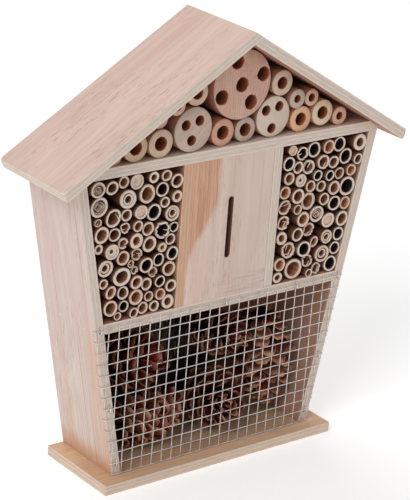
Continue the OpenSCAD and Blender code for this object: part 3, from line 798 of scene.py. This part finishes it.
def log(shape, box, holes, hole_d, tone, own, seed, ragged):
    """A round piece along Y with a chamfered rim and holes whose mouths are torn."""
    low, high = box
    x0, z0 = (low.x + high.x) / 2, (low.z + high.z) / 2
    radius, y0, y1 = (high.x - low.x) / 2, low.y, high.y
    look = (*tone[:3], own)
    dark_rim = (*(c * 0.8 for c in tone[:3]), own)
    around, hole_around = 64, 30
    chamfer = 0.35 * MM

    def loop(cx, cz, r_of, y_of, count, look):
        return [shape.vert((cx + r_of(a) * cos(a), y_of(a), cz + r_of(a) * sin(a)), look)
                for a in circle(count)]

    def even(a):
        return radius * (0.993 - abs(wave(a, seed, 0.004)))

    rim = loop(x0, z0, lambda a: even(a) - chamfer,
               lambda a: y0 + abs(wave(a, seed, 0.05 * MM)), around, look)
    turn = loop(x0, z0, even, lambda a: y0 + chamfer, around, dark_rim)
    far = loop(x0, z0, even, lambda a: y1 - chamfer, around, look)
    end = loop(x0, z0, lambda a: even(a) - chamfer, lambda a: y1, around, look)
    shape.skin([rim, turn, far, end])
    shape.cap(end, (x0, y1, z0), look)
    edges = [shape.mesh.edges.get((rim[k], rim[(k + 1) % around])) for k in range(around)]
    bore = (*BORE_TONE[:3], own)
    lip_look = (*(0.25 * c + 0.75 * b for c, b in zip(tone[:3], BORE_TONE)), own)
    for number, (hx, hz) in enumerate(holes):
        cx, cz, r = x0 + hx * MM, z0 + hz * MM, hole_d / 2 * MM
        mark = seed * 3 + number * 7.3

        def tear(a):
            rough = noise.noise(Vector((4 * cos(a), 4 * sin(a), mark)))
            return ragged * MM * (0.5 + rough)

        mouth = loop(cx, cz, lambda a: r + 0.05 * MM + max(0, tear(a)),
                     lambda a: y0 + 0.02 * MM, hole_around, look)
        lip = loop(cx, cz, lambda a: r + 0.2 * tear(a),
                   lambda a: y0 + 0.3 * MM + 0.6 * tear(a), hole_around, lip_look)
        wall = loop(cx, cz, lambda a: r, lambda a: y0 + 2.2 * MM, hole_around, bore)
        deep = loop(cx, cz, lambda a: r * 0.97, lambda a: y0 + DRILLED, hole_around, bore)
        shape.skin([mouth, lip, wall, deep])
        shape.cap(deep, (cx, y0 + DRILLED + 1.0 * MM, cz), bore)
        edges += [shape.mesh.edges.get((mouth[k], mouth[(k + 1) % hole_around]))
                  for k in range(hole_around)]
    bmesh.ops.triangle_fill(shape.mesh, use_beauty=True, edges=edges, normal=(0, -1, 0))


# Node, holes, and for each piece by x: the holes' diameter in mm, the tone, and a number of
# its own. Last, how ragged the mouths of the holes are, in mm.
LOGS = [
    ("large_log", LARGE_HOLES, [9.2], [(206, 166, 148)], [0.03], 0.9),
    ("left_log", ring_holes(7, 49, 149, 263), [6.6], [(201, 178, 162)], [0.36], 0.35),
    ("right_log", ring_holes(7.8, 55, 142, 266), [6.6], [(215, 197, 180)], [0.12], 0.35),
    ("left_floor_dowels", CENTRE, [5.2, 9, 9],
     [(204, 164, 142), (206, 176, 148), (212, 184, 160)], [0.3, 0.1, 0.55], 0.3),
    ("left_upper_dowels", CENTRE, [5.4, 5.4, 8],
     [(208, 168, 146), (212, 176, 156), (214, 184, 158)], [0.2, 0.6, 0.4], 0.3),
    ("middle_dowels", CENTRE, [9, 8.5],
     [(210, 160, 136), (188, 168, 154)], [0.15, 0.5], 0.3),
    ("right_floor_dowels", CENTRE, [8.5, 8.5, 5.2],
     [(224, 178, 140), (218, 196, 168), (218, 174, 152)], [0.25, 0.45, 0.7], 0.3),
    ("right_upper_dowels", CENTRE, [8, 5.2, 5.4],
     [(206, 182, 162), (190, 172, 158), (212, 176, 156)], [0.35, 0.05, 0.65], 0.3),
]
for node, holes, hole_ds, tones, owns, ragged in LOGS:
    shape = Shape()
    for k, box in enumerate(solids(node)):
        log(shape, box, holes, hole_ds[k], srgb(*tones[k]), owns[k], len(node) + 5 * k, ragged)
    shape.piece(f"{node}_turned", TURNED, node)


# ----- Pine cones -----

def cone_material():
    """Woody scales: dark red-brown blades with paler, ridged tips. The look's first part
    goes from the root to the tip, the second is the scale's hue, the third its paleness.
    The roots and the core are painted nearly black as the shade deep inside the cone."""
    graph = Graph("pine_cone")
    look, own = graph.attribute("look")
    parts = graph.node("ShaderNodeSeparateColor", (look,)).outputs
    place = graph.parts
    grain = graph.grain(place, (900, 900, 900), 3, 3)
    blotch = graph.grain(place, (240, 240, 240), 7, 3)
    blade = graph.mix(parts[1], srgb(62, 12, 7), srgb(100, 29, 17))
    straw = graph.times(graph.step(own, 0.35, 0.75), graph.step(parts[2], 0.1, 0.8))
    blade = graph.mix(graph.times(straw, 0.7), blade, srgb(118, 80, 58))
    # Painted shade: blades and core go nearly black towards the roots, deep inside the cone.
    blade = graph.mix(graph.step(parts[0], 0.06, 0.62), srgb(7, 3, 3), blade)
    blade = graph.shade(blade, grain, 0.3, 0.7, 0.7, 1.25)
    tip = graph.mix(parts[1], srgb(194, 116, 90), srgb(218, 168, 128))
    tip = graph.mix(graph.step(blotch, 0.4, 0.65, 0, 0.5), tip, srgb(228, 196, 166))
    tip = graph.shade(tip, grain, 0.3, 0.7, 0.72, 1.15)
    amount = graph.times(graph.step(parts[0], 0.76, 1.0), parts[2])
    colour = graph.mix(amount, blade, tip)
    rough = graph.step(grain, 0.3, 0.7, 0.5, 0.75)
    return graph.finish(colour, rough, grain, lift=0.0004, strength=0.7,
                        Specular_IOR_Level=0.12)


CONE = cone_material()
GOLDEN = pi * (3 - sqrt(5))


def scale_blade(shape, seat, length, width, thick, hue, pale, own):
    """One scale: a cupped blade along +X of the seat, broad and thick at its round tip."""
    across, along = 6, 8
    outline = [0.30, 0.36, 0.50, 0.72, 0.92, 1.0, 0.86, 0.46]
    body = [0.5, 0.45, 0.42, 0.45, 0.6, 0.9, 1.0, 0.5]
    sheets = ([], [])
    for i in range(along):
        s = i / (along - 1)
        rows = ([], [])
        for j in range(across + 1):
            v = 2 * j / across - 1
            y = width / 2 * outline[i] * v
            reach = length * (s - 0.04 * v * v * s)
            bow = 0.22 * length * s * s + 0.10 * width * v * v * s
            h = thick * body[i] * (1 - 0.6 * v * v)
            rim = max(s ** 1.5, (0.45 + 0.5 * abs(v) ** 4) if s > 0.35 else 0)
            look = (min(1, rim), hue, pale, own)
            rows[0].append(shape.vert(seat @ Vector((reach, y, bow + h / 2)), look))
            rows[1].append(shape.vert(seat @ Vector((reach, y, bow - h / 2)), look))
        sheets[0].append(rows[0])
        sheets[1].append(rows[1])
    top, bottom = sheets
    for sheet in sheets:
        for i in range(along - 1):
            for j in range(across):
                shape.quad(sheet[i][j], sheet[i + 1][j], sheet[i + 1][j + 1], sheet[i][j + 1])
    for i in range(along - 1):
        for j in (0, across):
            shape.quad(top[i][j], bottom[i][j], bottom[i + 1][j], top[i + 1][j])
    for i in (0, along - 1):
        for j in range(across):
            shape.quad(top[i][j], bottom[i][j], bottom[i][j + 1], top[i][j + 1])


def pine_cone(name, node, turn, width, length, pale, spread, count, broad):
    """An open cone: scales in spirals on a woody core, where the node is. turn is its
    turn in degrees, pale how light the tips are, spread how far the last scales lean to
    the tip in degrees, and broad how wide a scale is, as a share of the cone's width."""
    low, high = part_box(node)
    stand = Matrix.Translation((low + high) / 2) @ Euler(
        [radians(a) for a in turn]).to_matrix().to_4x4()
    shape = Shape()
    width, length = width * MM, length * MM
    # The core keeps the plain look, so the material paints it the near-black shade of the roots.
    core = []
    for i in range(9):
        s = i / 8
        z = (s - 0.5) * length * 0.9
        r = width * (0.19 - 0.17 * s ** 3) * sqrt(sin(pi * (0.06 + 0.9 * s)))
        core.append([shape.vert(stand @ Vector((r * cos(a), r * sin(a), z)))
                     for a in circle(14)])
    shape.skin(core)
    shape.cap(core[0], stand @ Vector((0, 0, -0.46 * length)), flip=True)
    shape.cap(core[-1], stand @ Vector((0, 0, 0.46 * length)))
    for k in range(count):
        s = (k + 0.5) / count
        full = width / 2 * sqrt(sin(pi * min(0.97, 0.06 + 0.92 * s ** 0.85)))
        close = max(0, (s - 0.72) / 0.28)
        root = (0.10 - 0.085 * close) * width
        tilt = radians(spread * (0.05 + 0.95 * s) + 34 * close + random.uniform(-13, 13))
        reach = min((full - root) / max(0.45, cos(tilt)), 0.46 * width)
        reach *= random.uniform(0.84, 1.02)
        rise = reach * sin(tilt)
        z = (s - 0.5) * length * 0.88 - 0.35 * rise
        angle = k * GOLDEN + random.uniform(-0.12, 0.12)
        seat = (stand @ Matrix.Rotation(angle, 4, "Z") @ Matrix.Translation((root, 0, z))
                @ Matrix.Rotation(-tilt, 4, "Y")
                @ Matrix.Rotation(random.uniform(-0.35, 0.35), 4, "X"))
        size = 0.55 + 0.45 * sin(pi * min(1, s + 0.1))
        scale_blade(shape, seat, reach, broad * width * size, 2.3 * MM * size,
                    random.random(), pale * random.uniform(0.25, 1.0), random.random())
    shape.piece(name, CONE, node, sharp=60)


random.seed(SEED + 1)
CONES = [
    ("upper_left_cone", (76, 0, 30), 50, 47, 0.3, 44, 70, 0.30),
    ("lower_left_cone", (0, 80, 0), 42, 56, 1.0, 42, 78, 0.28),
    ("lower_middle_cone", (80, 0, -14), 46, 46, 0.75, 40, 72, 0.25),
    ("upper_middle_cone", (84, 0, 12), 38, 46, 0.5, 40, 62, 0.26),
    ("right_cone", (0, 174, 0), 49, 68, 1.0, 44, 92, 0.26),
]
for node, *shape_of_cone in CONES:
    pine_cone(f"{node}_scales", node, *shape_of_cone)


# ----- Metal -----

def metal(name, bright, dull, rough, metallic=1.0):
    """Zinc-coated steel: a crystalline, slightly stained coat."""
    graph = Graph(name)
    place = graph.parts
    spangle = graph.cells(graph.place, 700)
    stain_and_painted_shadow = graph.grain(place, (260, 260, 260), 3, 3)
    colour = graph.mix(graph.step(stain_and_painted_shadow, 0.35, 0.7), bright, dull)
    colour = graph.shade(colour, spangle, 0.0, 0.8, 0.95, 1.03)
    gloss = graph.step(stain_and_painted_shadow, 0.3, 0.7, rough, rough + 0.12)
    return graph.finish(colour, gloss, stain_and_painted_shadow, lift=0.00003, strength=0.3, Metallic=metallic)


WIRE = metal("galvanised_wire", srgb(236, 229, 225), srgb(202, 194, 190), 0.4, metallic=0.65)
PLATED = metal("zinc_plated_steel", srgb(214, 214, 210), srgb(172, 170, 164), 0.28)


BENT = 0.28 * MM


def hand_bent(points, size, seed):
    """The points of a wire moved a little, so that it isn't perfectly straight."""
    moved = []
    for k, point in enumerate(points):
        drift = noise.noise_vector(Vector((k * 0.37, seed * 1.9, 4.2))) * size
        moved.append(point + Vector((drift.x, 0.4 * drift.y, drift.z)))
    return moved


def wrapped(tip, seed):
    """The left end of a level wire, bent back around the edge of the wall it crosses."""
    reach = (2.4 + 2.4 * noise.noise(Vector((seed * 2.3, -5.1, 0.7)))) * MM
    rise = 1.2 * MM * noise.noise(Vector((seed * 1.3, -2.1, 6.1)))
    return [tip + Vector((-0.35 * MM, 0.3 * MM, 0))] + [
        Vector((-outer_x(tip.z + share * rise) - 0.4 * MM, tip.y + 0.9 * MM + share * reach,
                tip.z + share * rise))
        for share in (0, 0.5, 1.0)]


def wire_mesh():
    """Welded mesh: level wires in front of uprights, with a bead of zinc at each weld."""
    shape = Shape()
    level, upright = [], []
    for low, high in solids("wire_mesh"):
        (level if high.x - low.x > high.z - low.z else upright).append((low, high))
    radius = (level[0][1].z - level[0][0].z) / 2
    for n, (low, high) in enumerate(level):
        y, z = (low.y + high.y) / 2, (low.z + high.z) / 2
        count = 30
        left, right = -outer_x(z), outer_x(z) - (0.5 + abs(wave(n, 2.3, 1.5))) * MM
        line = [Vector((left + (right - left) * k / count, y, z)) for k in range(count + 1)]
        line = hand_bent(line, BENT, n)
        shape.wire(wrapped(line[0], n)[::-1] + line, radius)
    for n, (low, high) in enumerate(upright):
        x, y = (low.x + high.x) / 2, (low.y + high.y) / 2
        count = max(4, round((high.z - low.z) / (5 * MM)))
        line = [Vector((x, y, low.z + (high.z - low.z) * k / count)) for k in range(count + 1)]
        shape.wire(hand_bent(line, BENT, n + 40), radius)
    for low, high in upright:
        x = (low.x + high.x) / 2
        for one, two in level:
            z = (one.z + two.z) / 2
            if low.z < z < high.z and abs(x) < two.x:
                bead(shape, Vector((x, (low.y + one.y) / 2 + radius / 2, z)), radius * 1.5)
    shape.piece("wire_mesh_welded", WIRE, "wire_mesh")


def bead(shape, middle, radius):
    """A small flattened drop."""
    x, y, z = middle
    thick = 0.8 * radius
    rings = [shape.ring(x, y + thick * lift, z, radius * sqrt(1 - lift * lift), 8)
             for lift in (-0.75, 0, 0.75)]
    shape.skin(rings)
    shape.cap(rings[0], (x, y - thick, z), flip=True)
    shape.cap(rings[-1], (x, y + thick, z))


# hand_bent() draws on the state of the noise module, which has its own seed.
noise.seed_set(SEED)
wire_mesh()


def staples():
    """Each staple is one bent wire: two legs in the wood and a rounded crown."""
    shape = Shape()
    for low, high in solids("mesh_staples"):
        half = (high.x - low.x) / 2
        x, y, z = (low.x + high.x) / 2, low.y + half, (low.z + high.z) / 2
        tall = (high.z - low.z) / 2 - half
        bend = 0.9 * MM
        path = [Vector((x, high.y, z - tall)), Vector((x, y + bend, z - tall))]
        for k in range(1, 5):
            a = pi / 2 * k / 4
            path.append(Vector((x, y + bend - bend * sin(a), z - tall + bend - bend * cos(a))))
        path += [Vector((x, p.y, 2 * z - p.z)) for p in path[::-1]]
        shape.wire(path, half)
    shape.piece("mesh_staples_bent", WIRE, "mesh_staples")


staples()


def screws():
    """Round-headed screws with a cross in each head."""
    shape = Shape()
    for low, high in solids("hanger_screws"):
        x, z = (low.x + high.x) / 2, (low.z + high.z) / 2
        radius, shank, back = (high.x - low.x) / 2, 1.5 * MM, high.y
        head = back - 1.6 * MM
        profile = [(0.55 * shank, low.y), (shank, low.y + 0.8 * MM), (shank, head), (radius, head),
                   (radius, head + 0.35 * MM), (0.86 * radius, back - 0.45 * MM),
                   (0.6 * radius, back - 0.1 * MM), (0.42 * radius, back)]
        rings = [shape.ring(x, y, z, r, 32) for r, y in profile]
        # The mouth and the floor of the cross: four arms, with the corners between drawn in.
        cross = [0.95 if k % 8 in (0, 1, 7) else 0.36 for k in range(32)]
        for share, y in ((0.34, back), (0.3, back - 0.8 * MM)):
            reach = share * radius
            rings.append([shape.vert((x + reach * arm * cos(a), y, z + reach * arm * sin(a)))
                          for arm, a in zip(cross, circle(32))])
        shape.skin(rings)
        shape.cap(rings[0], (x, low.y, z), flip=True)
        shape.cap(rings[-1], (x, back - 0.9 * MM, z))
    shape.piece("hanger_screws_turned", PLATED, "hanger_screws")


screws()
for name in ("shelf_brads", "base_brads", "back_brads", "hanger_plate"):
    soften_edges(coat(name, PLATED), (0.2 if name == "hanger_plate" else 0.12) * MM)


# ----- Floor, light and camera -----

def floor():
    """A plain pale floor that glows a little, so that it stays even under the lights."""
    graph = Graph("floor")
    grain = graph.noise(graph.place, 6.0, detail=2)
    colour = graph.mix(graph.step(grain, 0.3, 0.7), (0.93, 0.93, 0.93, 1), (0.95, 0.95, 0.95, 1))
    material = graph.finish(colour, 0.9, grain, lift=0.0001, strength=0.05,
                            Emission_Color=(1, 1, 1, 1), Emission_Strength=0.32)
    mesh = bmesh.new()
    bmesh.ops.create_grid(mesh, x_segments=4, y_segments=4, size=6)
    data = bpy.data.meshes.new("floor")
    mesh.to_mesh(data)
    mesh.free()
    data.materials.append(material)
    add_object("floor", data)


def softbox(name, place, target, size, power):
    """A square white light of this size in metres and power in watts."""
    data = bpy.data.lights.new(name, "AREA")
    data.shape = "SQUARE"
    data.size = size
    data.energy = power
    made = add_object(name, data)
    made.location = place
    made.rotation_euler = (Vector(target) - Vector(place)).to_track_quat("-Z", "Y").to_euler()


floor()
AIM = (0, 0, 0.15)
softbox("key", (-2.0, -0.9, 1.9), AIM, 1.3, 31)
softbox("fill", (1.3, -2.2, 1.0), AIM, 1.6, 2)
softbox("back", (0.4, 1.8, 1.8), AIM, 1.6, 14)

world = bpy.data.worlds.new("studio")
world.use_nodes = True
sky = world.node_tree.nodes["Background"].inputs
sky["Color"].default_value = (1, 1, 1, 1)
sky["Strength"].default_value = 0.42
bpy.context.scene.world = world
bpy.context.scene.view_settings.view_transform = "Standard"
bpy.context.scene.view_settings.look = "None"

LENS = 151.0  # mm, on a sensor 36 mm high
EYE = (-0.8040, -0.9872, 0.6365)
DIP, ROLL, YAW = radians(21.32), radians(4.30), radians(-39.19)


def camera():
    """A long lens from the front left and above."""
    data = bpy.data.cameras.new("camera")
    data.sensor_fit = "VERTICAL"
    data.sensor_height = 36
    data.lens = LENS
    data.clip_start = 0.05
    data.clip_end = 50
    ahead = Vector((-sin(YAW) * cos(DIP), cos(YAW) * cos(DIP),
                    -sin(DIP)))
    right = Vector((cos(YAW), sin(YAW), 0))
    up = right.cross(ahead)
    x_axis = right * cos(ROLL) + up * sin(ROLL)
    y_axis = up * cos(ROLL) - right * sin(ROLL)
    turn = Matrix((x_axis, y_axis, -ahead)).transposed().to_4x4()
    made = add_object("camera", data)
    made.matrix_world = Matrix.Translation(EYE) @ turn
    bpy.context.scene.camera = made


camera()
